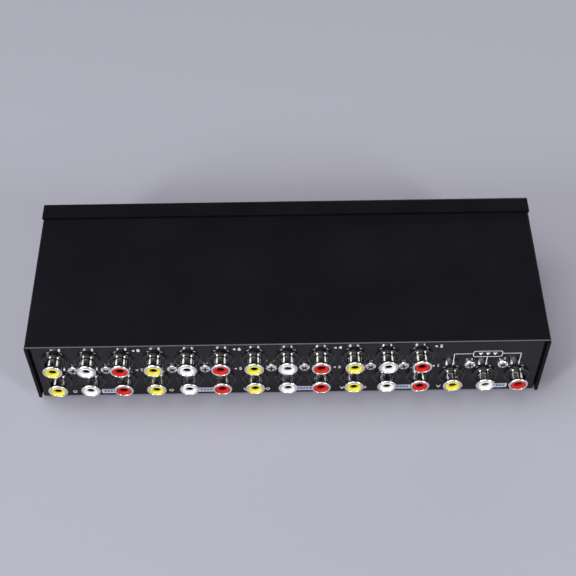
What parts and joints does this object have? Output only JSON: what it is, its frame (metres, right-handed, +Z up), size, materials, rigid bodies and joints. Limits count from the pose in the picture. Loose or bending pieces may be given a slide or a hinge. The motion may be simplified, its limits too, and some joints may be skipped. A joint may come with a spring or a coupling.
{
  "type": "audio video selector switch",
  "caption": "Flat sheet-metal switch box with rows of colour-coded phono jacks on the back and interlocked push buttons on the front",
  "frame": {"origin": "under the middle of the whole object, on the surface that it stands on", "axes": "+X along the case, to the left as seen in the picture; +Y to the rear, where the jacks are; +Z up"},
  "size_m": [0.2202, 0.0874, 0.0434],
  "materials": {
    "case_paint": "fine matte black paint",
    "front_paint": "fine matte black paint",
    "panel_paint": "semi-gloss black paint with white print",
    "plating": "bright plating",
    "yellow_plastic": "satin",
    "white_plastic": "satin",
    "red_plastic": "satin",
    "block_plastic": "moulded black",
    "cap_plastic": "moulded black, fine satin",
    "stem_plastic": "moulded, unpainted",
    "zinc_steel": "zinc plated",
    "spring_steel": "drawn wire",
    "board_resin": "resin-bonded paper board",
    "foot_rubber": "matte"
  },
  "bodies": {
    "case": {"base_chassis": "panel_paint", "top_cover": "case_paint", "front_panel": "front_paint", "rubber_feet": "foot_rubber", "cover_screws": "case_paint", "jack_screws": "zinc_steel", "main_board": "board_resin", "board_standoffs": "zinc_steel", "board_screws": "zinc_steel", "input_jack_blocks": "block_plastic", "output_jack_block": "block_plastic", "input_shells": "plating", "output_shells": "plating", "yellow_insulators": "yellow_plastic", "white_insulators": "white_plastic", "red_insulators": "red_plastic", "switch_bracket": "zinc_steel", "lock_spring": "spring_steel", "switch_housing_1": "block_plastic", "switch_housing_2": "block_plastic", "switch_housing_3": "block_plastic", "switch_housing_4": "block_plastic", "switch_housing_5": "block_plastic", "switch_housing_6": "block_plastic", "switch_housing_7": "block_plastic", "switch_housing_8": "block_plastic", "button_spring_1": "spring_steel", "button_spring_2": "spring_steel", "button_spring_3": "spring_steel", "button_spring_4": "spring_steel", "button_spring_5": "spring_steel", "button_spring_6": "spring_steel", "button_spring_7": "spring_steel", "button_spring_8": "spring_steel"},
    "lock_bar": {"lock_bar": "zinc_steel"},
    "button_1": {"button_cap_1": "cap_plastic", "plunger_1": "stem_plastic"},
    "button_2": {"button_cap_2": "cap_plastic", "plunger_2": "stem_plastic"},
    "button_3": {"button_cap_3": "cap_plastic", "plunger_3": "stem_plastic"},
    "button_4": {"button_cap_4": "cap_plastic", "plunger_4": "stem_plastic"},
    "button_5": {"button_cap_5": "cap_plastic", "plunger_5": "stem_plastic"},
    "button_6": {"button_cap_6": "cap_plastic", "plunger_6": "stem_plastic"},
    "button_7": {"button_cap_7": "cap_plastic", "plunger_7": "stem_plastic"},
    "button_8": {"button_cap_8": "cap_plastic", "plunger_8": "stem_plastic"}
  },
  "joints": [
    {"name": "button_1_press", "type": "slide", "parent": "case", "child": "button_1", "axis": [0, 1, 0], "range_m": [0, 0.0035], "stiffness_N_per_m": 250, "springref_m": -0.002, "deforming": ["button_spring_1"]},
    {"name": "button_2_press", "type": "slide", "parent": "case", "child": "button_2", "axis": [0, 1, 0], "range_m": [0, 0.0035], "stiffness_N_per_m": 250, "springref_m": -0.002, "deforming": ["button_spring_2"]},
    {"name": "button_3_press", "type": "slide", "parent": "case", "child": "button_3", "axis": [0, 1, 0], "range_m": [0, 0.0035], "stiffness_N_per_m": 250, "springref_m": -0.002, "deforming": ["button_spring_3"]},
    {"name": "button_4_press", "type": "slide", "parent": "case", "child": "button_4", "axis": [0, 1, 0], "range_m": [0, 0.0035], "stiffness_N_per_m": 250, "springref_m": -0.002, "deforming": ["button_spring_4"]},
    {"name": "button_5_press", "type": "slide", "parent": "case", "child": "button_5", "axis": [0, 1, 0], "range_m": [0, 0.0035], "stiffness_N_per_m": 250, "springref_m": -0.002, "deforming": ["button_spring_5"]},
    {"name": "button_6_press", "type": "slide", "parent": "case", "child": "button_6", "axis": [0, 1, 0], "range_m": [0, 0.0035], "stiffness_N_per_m": 250, "springref_m": -0.002, "deforming": ["button_spring_6"]},
    {"name": "button_7_press", "type": "slide", "parent": "case", "child": "button_7", "axis": [0, 1, 0], "range_m": [0, 0.0035], "stiffness_N_per_m": 250, "springref_m": -0.002, "deforming": ["button_spring_7"]},
    {"name": "button_8_press", "type": "slide", "parent": "case", "child": "button_8", "axis": [0, 1, 0], "range_m": [0, 0.0035], "stiffness_N_per_m": 250, "springref_m": -0.002, "deforming": ["button_spring_8"]},
    {"name": "lock_slide", "type": "slide", "parent": "case", "child": "lock_bar", "axis": [1, 0, 0], "range_m": [-0.001, 0], "stiffness_N_per_m": 300, "springref_m": 0.001, "deforming": ["lock_spring"]}
  ]
}
